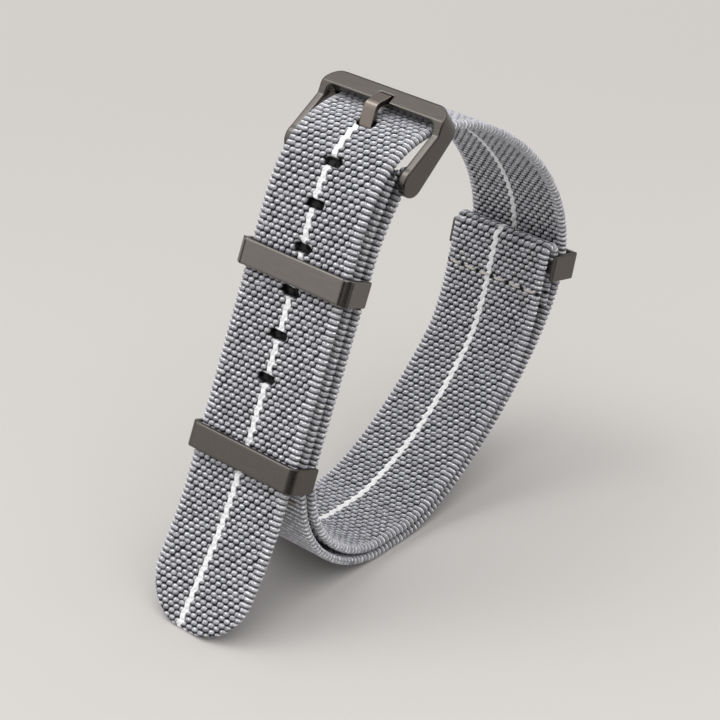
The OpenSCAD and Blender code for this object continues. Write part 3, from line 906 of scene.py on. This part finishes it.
@dataclass
class WovenStrap:
    """One length of webbing, swept along its centre line as a closed skin with rounded edges."""

    name: str
    node: str
    path: np.ndarray
    layout: BandLayout
    weave: Weave
    line_at: list[Pair]
    back_line_at: list[Pair]
    splits: list[float]
    openings: list[Opening] = field(default_factory=list)
    dents: list[StitchDents] = field(default_factory=list)
    notch_from: Optional[float] = None
    width: float = 20.0
    tail_r: float = 0.0
    edge_r: float = 0.7
    notch_r: float = 0.3
    notch_half: float = 1.5
    no_notch: float = 9.0
    end_rows: Pair = (0.04, 0.13)
    rim_columns: tuple[float, ...] = (0.0, 0.05, 0.18, 0.4)
    line_reach: float = 2.5
    samples_along: int = 4
    samples_across: int = 6
    dense_step: float = 0.05
    even_out: int = 9
    above_ground: float = 0.02
    hole_dip: float = 2.0
    dent_dip: float = 0.5
    least_row: float = 0.4
    lit_from: Pair = (0.45, 0.9)

    def half_width(self, s: np.ndarray) -> np.ndarray:
        """Return half the strap's width along it, with the tail's rounded end."""
        r = self.tail_r
        return self.width / 2 - r + np.sqrt(np.maximum(r * r - np.maximum(r - s, 0) ** 2, 0))

    def skin(self, face: int) -> tuple[np.ndarray, np.ndarray, np.ndarray, np.ndarray]:
        """Lay out the grid of one face.

        Args:
            face: 1 for the face left of the path, -1 for the other one.

        Returns:
            Distances along and across for each point, and where the white line and the edge lie in each row.
        """
        total = run_lengths(self.path)[-1]
        step = self.weave.row / self.samples_along
        rows = np.arange(0, total - self.least_row * step, step)[1:]
        ends = np.array([0, *self.end_rows])
        s = np.unique(np.round(np.concatenate([ends, rows, total - ends[::-1]]), 4))
        table = self.line_at if face > 0 else self.back_line_at
        line = np.interp(s, [p[0] for p in table], [p[1] for p in table])
        half = self.half_width(s)
        cell = self.weave.bead / self.samples_across
        count = int((self.width / 2 + self.line_reach) / cell)
        flat = (half - self.edge_r)[:, None]
        inner = np.clip(np.arange(-count, count + 1)[None, :] * cell + line[:, None], -flat, flat)
        rims = np.array(self.rim_columns)
        y = np.hstack([-half[:, None] + rims[None, :], inner, half[:, None] - rims[None, ::-1]])
        return np.repeat(s[:, None], y.shape[1], axis=1), y, line, half

    def cut(self, s: np.ndarray, y: np.ndarray) -> tuple[np.ndarray, ...]:
        """Cut the openings out of one face's grid.

        Args:
            s: Distance along, for each point of the grid.
            y: Distance across, for each point of the grid.

        Returns:
            The grid's distances along and across with the openings' edges drawn in, which cells stay, each
            point's distance from the notch, and how deep it is in a hole.
        """
        mid_s = (s[:-1, :-1] + s[1:, 1:]) / 2
        mid_y = (y[:-1, :-1] + y[:-1, 1:] + y[1:, :-1] + y[1:, 1:]) / 4
        keep = np.ones(mid_s.shape, bool)
        gap, well = np.full(s.shape, self.no_notch), np.zeros(s.shape)
        s, y = s.copy(), y.copy()
        for hole in self.openings:
            inside = hole.beyond_throat(mid_s, mid_y) < 0
            keep &= ~inside
            rim = self.on_border(inside)
            s[rim], y[rim] = hole.pulled(s[rim], y[rim])
            well = np.maximum(well, np.where(rim, 1, hole.well(s, y)))
        for row in self.dents:
            well = np.maximum(well, row.well(s, y))
        if self.notch_from is not None:
            inside = (mid_s > self.notch_from) & (np.abs(mid_y) < self.notch_half)
            keep &= ~inside
            out = np.maximum(np.abs(y) - self.notch_half, self.notch_from - s)
            gap = np.minimum(gap, np.where(self.on_border(inside), 0, np.abs(out)))
        return s, y, keep, gap, well

    @staticmethod
    def on_border(inside: np.ndarray) -> np.ndarray:
        """Find the grid points that touch both a cut cell and a kept one.

        Args:
            inside: Which cells are cut.

        Returns:
            Which points lie on the border.
        """
        rows, columns = inside.shape
        cut_near, kept_near = np.zeros((2, rows + 1, columns + 1), bool)
        for i in (0, 1):
            for j in (0, 1):
                cut_near[i:i + rows, j:j + columns] |= inside
                kept_near[i:i + rows, j:j + columns] |= ~inside
        return cut_near & kept_near

    def points(self) -> dict[str, np.ndarray]:
        """Work out the whole skin.

        Returns:
            Points in metres, faces with the distance along of each, and the measures of each point.
        """
        runs = run_lengths(self.path)
        total = runs[-1]
        flat = self.layout.placed(self.path)
        dense = np.arange(0, total, self.dense_step)
        px, pz = np.interp(dense, runs, flat[:, 0]), np.interp(dense, runs, flat[:, 1])
        window = np.ones(self.even_out) / self.even_out
        tx, tz = (np.convolve(np.pad(np.gradient(p), self.even_out // 2, mode="edge"), window, "valid")
                  for p in (px, pz))
        size = np.hypot(tx, tz)
        tx, tz = tx / size, tz / size
        parts: dict[str, list[np.ndarray]] = {k: [] for k in ("co", "face", "cell_s", *StrapMeasures.names())}
        offset = 0
        for face in (1, -1):
            s, y, line, half = self.skin(face)
            s, y, keep, gap, well = self.cut(s, y)
            edge = np.minimum.reduce([half[:, None] - np.abs(y), s, total - s])
            share = np.minimum(np.clip(edge / self.edge_r, 0, 1), np.clip(gap / self.notch_r, 0, 1))
            lift = self.layout.thickness / 2 * np.sqrt(1 - (1 - share) ** 2) * face
            lift = lift * (1 - well * (self.hole_dip if face > 0 and self.openings else self.dent_dip))
            x = np.interp(s, dense, px) - lift * np.interp(s, dense, tz)
            z = np.interp(s, dense, pz) + lift * np.interp(s, dense, tx)
            co = np.stack([x, y, np.maximum(z, self.above_ground)], axis=-1) * MM
            rows, columns = s.shape
            index = np.arange(rows * columns).reshape(rows, columns) + offset
            quads = np.stack([index[:-1, :-1], index[:-1, 1:], index[1:, 1:], index[1:, :-1]], -1)[keep]
            # rise leans towards the light above and behind; the webbing's painted shade, painted highlights and painted
            # lighter crown follow it.
            rise = np.interp(s, dense, self.lit_from[1] * tz + self.lit_from[0] * tx)
            for name, values in (
                    ("face", quads if face < 0 else quads[:, ::-1]),
                    ("cell_s", ((s[:-1, :-1] + s[1:, :-1]) / 2)[keep]), ("co", co.reshape(-1, 3)),
                    ("along", s.ravel()), ("across", (y - line[:, None]).ravel()), ("rim", np.abs(y).ravel()),
                    ("well", well.ravel()), ("rise", rise.ravel()), ("side", np.full(s.size, face))):
                parts[name].append(values)
            offset += rows * columns
        return {k: np.concatenate(v) for k, v in parts.items()}

    def build(self, relief: NodeTree, material: Material) -> list[Object]:
        """Build the strap as a few pieces that meet end to end.

        Args:
            relief: The geometry nodes that press the weave in.
            material: The webbing's material.

        Returns:
            The pieces.
        """
        data, row = self.points(), self.weave.row
        bounds = [-math.inf, *(round(s / row) * row + row / 2 for s in self.splits), math.inf]
        pieces = []
        for number, (low, high) in enumerate(zip(bounds[:-1], bounds[1:])):
            faces = data["face"][(data["cell_s"] > low) & (data["cell_s"] <= high)]
            obj = add_object(f"{self.name}_{number + 1}", self.mesh(data, faces))
            run_tree(obj, relief, {"Depth": self.weave.depth * MM, "Webbing": material})
            self.close_ends(obj.data)
            pieces.append(add_piece(obj, "strap", self.node))
        return pieces

    def mesh(self, data: dict[str, np.ndarray], faces: np.ndarray) -> Mesh:
        """Join the two faces into one closed skin and keep its measures.

        Args:
            data: The skin.
            faces: The faces of this piece.

        Returns:
            The mesh.
        """
        used, inverse = np.unique(faces, return_inverse=True)
        faces = inverse.reshape(faces.shape)
        co = data["co"][used]
        _, first, back = np.unique(np.round(co / WELD).astype(np.int64), axis=0, return_index=True, return_inverse=True)
        faces = back.ravel()[faces]
        distinct = faces != np.roll(faces, -1, axis=1)
        polygons = [[v for v, d in zip(f, k) if d] for f, k in zip(faces.tolist(), distinct.tolist()) if sum(k) >= 3]
        mesh = bpy.data.meshes.new(self.name)
        mesh.from_pydata(co[first].tolist(), [], polygons)
        for name in StrapMeasures.names():
            layer = mesh.attributes.new(name, "FLOAT", "POINT")
            layer.data.foreach_set("value", data[name][used][first].astype(np.float32))
        mesh.validate()
        mesh.shade_smooth()
        mesh.update()
        return mesh

    @staticmethod
    def close_ends(mesh: Mesh) -> None:
        """Cap the open ends where two pieces meet, and keep everything above the ground.

        Args:
            mesh: The piece's mesh.
        """
        bm = bmesh.new()
        bm.from_mesh(mesh)
        for vertex in bm.verts:
            vertex.co.z = max(vertex.co.z, 0.0)
        before = set(bm.faces)
        bmesh.ops.holes_fill(bm, edges=[edge for edge in bm.edges if edge.is_boundary], sides=0)
        bmesh.ops.triangulate(bm, faces=[face for face in bm.faces if face not in before])
        for face in set(bm.faces) - before:
            face.smooth = False
            for edge in face.edges:
                edge.smooth = False
        bm.to_mesh(mesh)
        bm.free()
        mesh.update()


# Metal

@dataclass(frozen=True)
class CornerRounding:
    """Rounder vertical corners on the front of a keeper that stands upright and faces -X, in millimetres."""

    radius: float
    found: float

    def apply(self, co: np.ndarray) -> np.ndarray:
        """Move points from the corners' own outline onto the rounder one.

        Args:
            co: Points in millimetres.

        Returns:
            The moved points.
        """
        front, side = co[:, 0].min(), np.abs(co[:, 1]).max()
        u = np.maximum(front + self.radius - co[:, 0], 0)
        v = np.maximum(np.abs(co[:, 1]) - side + self.radius, 0)
        away = np.maximum(np.hypot(u, v), TINY)
        cu, cv = u / away, v / away
        core = self.radius - self.found
        under = self.found ** 2 - (core * (cu - cv)) ** 2
        arc_reach = np.where(under > 0, core * (cu + cv) + np.sqrt(np.maximum(under, 0)), np.inf)
        reach = np.minimum(arc_reach, self.radius / np.maximum(np.maximum(cu, cv), TINY))
        share = np.where((u > TINY) & (v > TINY), self.radius / reach - 1, 0)
        moved = co.copy()
        moved[:, 0] -= share * u
        moved[:, 1] += share * v * np.sign(co[:, 1])
        return moved


@dataclass
class MetalPiece:
    """A metal piece: the solid of the frame with softly broken edges.

    The skin is made in axes in which the piece stands upright, since edges along its grid come out straight.
    """

    node: str
    body: str
    slot: str
    voxel: float = 0.09
    passes: int = 6
    rise: float = 90.0
    corners: Optional[CornerRounding] = None
    merge: float = 1e-6
    flat_angle: float = 0.6

    def build(self, material: Material) -> Object:
        """Copy the solid, soften its edges and dress it.

        Args:
            material: The metal's material.

        Returns:
            The piece.
        """
        bm = bmesh.new()
        bm.from_mesh(bpy.data.objects[self.node].data)
        bmesh.ops.remove_doubles(bm, verts=bm.verts, dist=self.merge)
        bmesh.ops.dissolve_limit(bm, angle_limit=math.radians(self.flat_angle), verts=bm.verts, edges=bm.edges)
        bmesh.ops.recalc_face_normals(bm, faces=bm.faces)
        name = f"{self.node}_metal"
        mesh = new_mesh(name, bm)
        obj = add_object(name, mesh)
        mesh.materials.append(material)
        upright = Matrix.Rotation(math.radians(self.rise - 90), 4, "Y") @ Matrix.Scale(1 / MM, 4)
        mesh.transform(upright)
        skin = obj.modifiers.new("even skin", "REMESH")
        skin.mode, skin.voxel_size, skin.use_smooth_shade = "VOXEL", self.voxel, True
        bake(obj)
        if self.corners is not None:
            co = np.empty(3 * len(obj.data.vertices), np.float32)
            obj.data.vertices.foreach_get("co", co)
            moved = self.corners.apply(co.reshape(-1, 3).astype(float))
            obj.data.vertices.foreach_set("co", moved.astype(np.float32).ravel())
        soften = obj.modifiers.new("soft edges", "SMOOTH")
        soften.iterations = self.passes
        bake(obj)
        obj.data.transform(upright.inverted())
        return add_piece(obj, self.body, self.node)


# Stitches

class StitchFace(Enum):
    """Which face of the layers shows a row of stitches."""

    NEAR = -1
    FAR = 1


@dataclass
class StitchRow:
    """A row of lock stitches across the webbing, on both outer faces of the layers, in millimetres.

    Its centre lies on the middle line of the near layer, and layers is the way from there to the far one's.
    """

    node: str
    slot: str
    centre: np.ndarray
    turn: float
    layers: float
    proud: float = 0.04
    reach: float = 9.2
    pitch: float = 3.2
    length: float = 2.3
    thread: float = 0.5
    flat: float = 0.75
    taper: float = 0.45
    dip: float = 0.3
    steps: int = 10
    sides: int = 8

    def stitch(self) -> Mesh:
        """Make one stitch: a thread that dips into the webbing at both ends.

        Returns:
            The stitch's mesh.
        """
        bm = bmesh.new()
        rings = []
        for i in range(self.steps + 1):
            u = i / self.steps * 2 - 1
            radius = self.thread / 2 * (1 - self.taper * u ** 4)
            angles = [2 * math.pi * k / self.sides for k in range(self.sides)]
            rings.append([bm.verts.new(Vector((radius * self.flat * math.cos(angle) - self.dip * u ** 4,
                                               u * self.length / 2, radius * math.sin(angle))) * MM)
                          for angle in angles])
        for a, b in zip(rings[:-1], rings[1:]):
            for k in range(self.sides):
                after = (k + 1) % self.sides
                bm.faces.new((a[k], a[after], b[after], b[k]))
        bm.faces.new(rings[0])
        bm.faces.new(rings[-1])
        bmesh.ops.recalc_face_normals(bm, faces=bm.faces)
        mesh = new_mesh("stitch", bm)
        mesh.shade_smooth()
        return mesh

    def build(self, tree: NodeTree, layout: BandLayout, material: Material) -> Object:
        """Lay the stitches out on both faces.

        Args:
            tree: The geometry nodes that repeat one stitch.
            layout: The band's side view.
            material: The thread's material.

        Returns:
            The piece.
        """
        x, z = layout.placed(self.centre)[0]
        place = Matrix.Translation(Vector((x, 0, z)) * MM) @ Matrix.Rotation(
            math.radians(90 - self.turn - layout.ground_turn), 4, "Y")
        whole = bmesh.new()
        for face in StitchFace:
            obj = add_object("stitches", self.stitch())
            run_tree(obj, tree, {"Count": int(2 * self.reach / self.pitch) + 1, "Pitch": self.pitch * MM,
                                 "Thread": material, "Seed": 3 + face.value})
            flip = Matrix.Rotation(math.pi, 4, "Z") if face is StitchFace.NEAR else Matrix.Identity(4)
            outside = layout.thickness / 2 + self.proud
            depth = self.layers + outside if face is StitchFace.FAR else -outside
            obj.data.transform(place @ Matrix.Translation((depth * MM, 0, 0)) @ flip)
            whole.from_mesh(obj.data)
            bpy.data.objects.remove(obj)
        name = f"{self.node}_stitches"
        mesh = new_mesh(name, whole)
        mesh.materials.append(material)
        return add_piece(add_object(name, mesh), "strap", self.node)


def stitch_row_tree(sway: float = 0.14) -> NodeTree:
    """Build the geometry nodes that repeat one stitch across the webbing.

    Args:
        sway: How far a stitch may turn out of its row, in radians.

    Returns:
        The tree.
    """
    f, inputs, end = new_group(
        "stitch row", "GeometryNodeTree",
        {"Geometry": "Geometry", "Count": "Int", "Pitch": "Float", "Seed": "Int", "Thread": "Material"},
        {"Geometry": "Geometry"})
    first = inputs["Pitch"] * ((inputs["Count"] - 1.0) * -0.5)
    line = f.node("GeometryNodeMeshLine", {
        "Count": inputs["Count"], "Start Location": f.node("ShaderNodeCombineXYZ", {"Y": first}),
        "Offset": f.node("ShaderNodeCombineXYZ", {"Y": inputs["Pitch"]})}, "Mesh")
    wander = f.node("FunctionNodeRandomValue", {0: (0, 0, -sway), 1: (0, 0, sway), "Seed": inputs["Seed"]},
                    data_type="FLOAT_VECTOR")
    swapped = f.node("ShaderNodeVectorRotate", {"Vector": wander, "Angle": math.pi / 2}, rotation_type="Y_AXIS")
    tilt = f.node("ShaderNodeVectorMath", {0: swapped, 1: (1, 0, 0)}, operation="MULTIPLY")
    copies = f.node("GeometryNodeInstanceOnPoints", {
        "Points": line, "Instance": inputs["Geometry"], "Rotation": f.node("FunctionNodeEulerToRotation", {0: tilt})})
    real = f.node("GeometryNodeRealizeInstances", {0: copies})
    f.fill(end, {"Geometry": f.node("GeometryNodeSetMaterial", {"Geometry": real, "Material": inputs["Thread"]})})
    return f.tree


# Studio

@dataclass(frozen=True)
class Glow:
    """One bright side of the surround: where it is, how strong, and where it starts and is full."""

    side: Triple
    strength: float
    start: float
    full: float = 1.0


@dataclass
class Studio:
    """Floor, soft light and the camera at the photograph's angle.

    The camera's station is in millimetres, and the other places and sizes are in metres.
    """

    azimuth: float = -48.172
    elevation: float = 32.592
    roll: float = -1.229
    focal: float = 2188.94
    picture: int = 720
    sensor: float = 36
    nearest: float = 0.01
    station: Triple = (-178.149, -198.373, 219.275)
    floor_size: float = 4.0
    glows: tuple[Glow, ...] = (
        Glow((-0.15, 0.05, 0.95), 1.6, 0.15), Glow((-0.82, 0.58, 0.05), 0.9, 0.72), Glow((0.60, -0.45, 0.55), 0.4, 0.2))
    dim: float = 0.16
    backdrop: float = 0.72
    surround: Triple = (0.92, 0.91, 0.90)
    key_at: Triple = (-0.2, 0.4, 0.8)
    key_aim: Triple = (0, 0, 0.03)
    key_size: float = 0.4
    key_power: float = 1.4
    key_colour: Triple = (1.0, 0.985, 0.965)

    def camera(self, layout: BandLayout) -> None:
        """Place the camera, which was solved in the tail tip's axes, in the part's own axes.

        Args:
            layout: The band's side view, for the turn and the shift of its axes.
        """
        az, el, roll = (math.radians(a) for a in (self.azimuth, self.elevation, self.roll))
        back = Vector((math.sin(az) * math.cos(el), -math.cos(az) * math.cos(el), math.sin(el)))
        right = Vector((math.cos(az), math.sin(az), 0))
        up = back.cross(right)
        axes = Matrix((right * math.cos(roll) + up * math.sin(roll),
                       up * math.cos(roll) - right * math.sin(roll), back)).transposed()
        turn = Matrix.Rotation(math.radians(-layout.ground_turn), 3, "Y")
        place = turn @ Vector(self.station) - Vector((layout.shift, 0, 0))
        data = bpy.data.cameras.new("view")
        data.sensor_width, data.lens = self.sensor, self.focal / self.picture * self.sensor
        data.clip_start = self.nearest
        camera = add_object("view", data)
        camera.matrix_world = Matrix.Translation(place * MM) @ (turn @ axes).to_4x4()
        bpy.context.scene.camera = camera

    def floor(self) -> None:
        """Make the floor."""
        mesh = bpy.data.meshes.new("floor")
        mesh.from_pydata([(x * self.floor_size, y * self.floor_size, 0)
                          for x, y in ((-1, -1), (1, -1), (1, 1), (-1, 1))], [], [(0, 1, 2, 3)])
        mesh.materials.append(FloorFinish("pale floor", (*self.station[:2], 0)).material())
        add_object("floor", mesh)

    def lights(self) -> None:
        """Light the band with one soft lamp from behind and a dim surround that has a few bright sides."""
        data = bpy.data.lights.new("key", "AREA")
        data.energy, data.size, data.color = self.key_power, self.key_size, self.key_colour
        lamp = add_object("key", data)
        lamp.location = self.key_at
        aim = Vector(self.key_aim) - lamp.location
        lamp.rotation_euler = aim.to_track_quat("-Z", "Y").to_euler()
        world = bpy.data.worlds.new("surround")
        world.use_nodes = True
        f = Formula(world.node_tree)
        place = f.node("ShaderNodeTexCoord", out="Generated")
        seen = f.node("ShaderNodeLightPath", out="Is Camera Ray")
        level: Number = self.dim
        for glow in self.glows:
            level = f.towards(place, glow.side).ramp(glow.start, glow.full) * glow.strength + level
        f.fill(world.node_tree.nodes["Background"],
               {"Color": self.surround, "Strength": level.at_least(seen * self.backdrop)})
        bpy.context.scene.world = world


# The whole band

def dress_solids(nodes: tuple[str, ...], material: Material) -> None:
    """Give solids that are shown as they are their material.

    Args:
        nodes: The solids' nodes.
        material: The material.
    """
    for node in nodes:
        for place in bpy.data.objects[node].material_slots:
            place.material = material


def build_webbing(layout: BandLayout) -> None:
    """Build the two lengths of webbing.

    Args:
        layout: The band's side view.
    """
    weave = Weave()
    webbing, relief = WebbingFinish("woven webbing", weave).material(), woven_relief_tree(weave)
    holes = [Opening(layout.along_face(layout.first_hole + layout.hole_pitch * k), *layout.hole_size)
             for k in range(layout.hole_count)]
    holes.append(Opening(layout.tang_hole, *layout.tang_hole_size))
    long_run, short_run = run_lengths(layout.long_path)[-1], run_lengths(layout.short_path)[-1]
    WovenStrap("webbing_long", "long_strap", layout.long_path, layout, weave,
               line_at=[(0, 1.05), (30, -0.15), (40, -0.3), (60, -0.25), (68, 0.2), (85, 0.8), (130, 0.6),
                        (215, 0.6), (216, 40)],
               back_line_at=[(0, 0.6)], splits=[92, 190], openings=holes,
               notch_from=long_run - layout.long_notch, tail_r=9.0).build(relief, webbing)
    WovenStrap("webbing_short", "short_strap", layout.short_path, layout, weave,
               line_at=[(0, 0.9)], back_line_at=[(0, 0.6), (16, 0.85), (50, 0.9), (62, 1.5)], splits=[78],
               dents=[StitchDents(run, StitchRow.pitch) for run in layout.seam_crossings()],
               notch_from=short_run - layout.short_notch).build(relief, webbing)


def build_metal(layout: BandLayout) -> None:
    """Build the buckle, the tang, the keepers and the ring, and dress the sprung bar.

    Args:
        layout: The band's side view.
    """
    made = {slot: finish.material() for slot, finish in {
        "upper_keeper_metal": MetalFinish("light gunmetal", (0.165, 0.152, 0.143)),
        "keeper_metal": MetalFinish("dark gunmetal", (0.118, 0.108, 0.100)),
        "buckle_metal": MetalFinish("buckle gunmetal", (0.112, 0.103, 0.096), roughness=0.26),
        "tang_metal": MetalFinish("tang gunmetal", (0.20, 0.172, 0.155), roughness=0.28),
        "bar_metal": MetalFinish("drawn steel", (0.5, 0.49, 0.48)),
    }.items()}
    stack_rise, ring_rise = layout.lean + layout.ground_turn, layout.ring_heading + layout.ground_turn
    for piece in (MetalPiece("buckle_frame", "buckle", "buckle_metal", passes=30),
                  MetalPiece("tang", "tang", "tang_metal", voxel=0.06, passes=10),
                  MetalPiece("upper_keeper", "upper_keeper", "upper_keeper_metal", rise=stack_rise,
                             corners=CornerRounding(1.3, 0.6)),
                  MetalPiece("lower_keeper", "lower_keeper", "keeper_metal", rise=stack_rise),
                  MetalPiece("ring_keeper", "ring", "keeper_metal", rise=ring_rise)):
        piece.build(made[piece.slot])
    dress_solids(("spring_bar_tube", "spring_bar_spring", "spring_bar_pin_left", "spring_bar_pin_right"),
                 made["bar_metal"])


def build_stitches(layout: BandLayout) -> None:
    """Build the fold's row of stitches and dress the hidden seams.

    Args:
        layout: The band's side view.
    """
    seam_thread = ThreadFinish("seam thread", (0.46, 0.42, 0.37)).material()
    fold_thread = ThreadFinish("fold thread", (0.55, 0.52, 0.47)).material()
    centre = np.array(layout.fold_at) - layout.fold_seam * heading(layout.ring_heading)
    StitchRow("ring_fold_seam", "fold_thread", centre, layout.ring_heading, 2 * layout.fold_r).build(
        stitch_row_tree(), layout, fold_thread)
    dress_solids(("seam_top", "seam_middle", "seam_bottom"), seam_thread)


def main() -> None:
    """Build every piece of the band and the studio around it."""
    log.info("%d nodes in the frame", len(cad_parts))
    layout, studio = BandLayout(), Studio()
    studio.camera(layout)
    studio.floor()
    studio.lights()
    build_webbing(layout)
    build_metal(layout)
    build_stitches(layout)
    bpy.context.scene.view_settings.view_transform = "Standard"


if __name__ == "__main__":
    main()
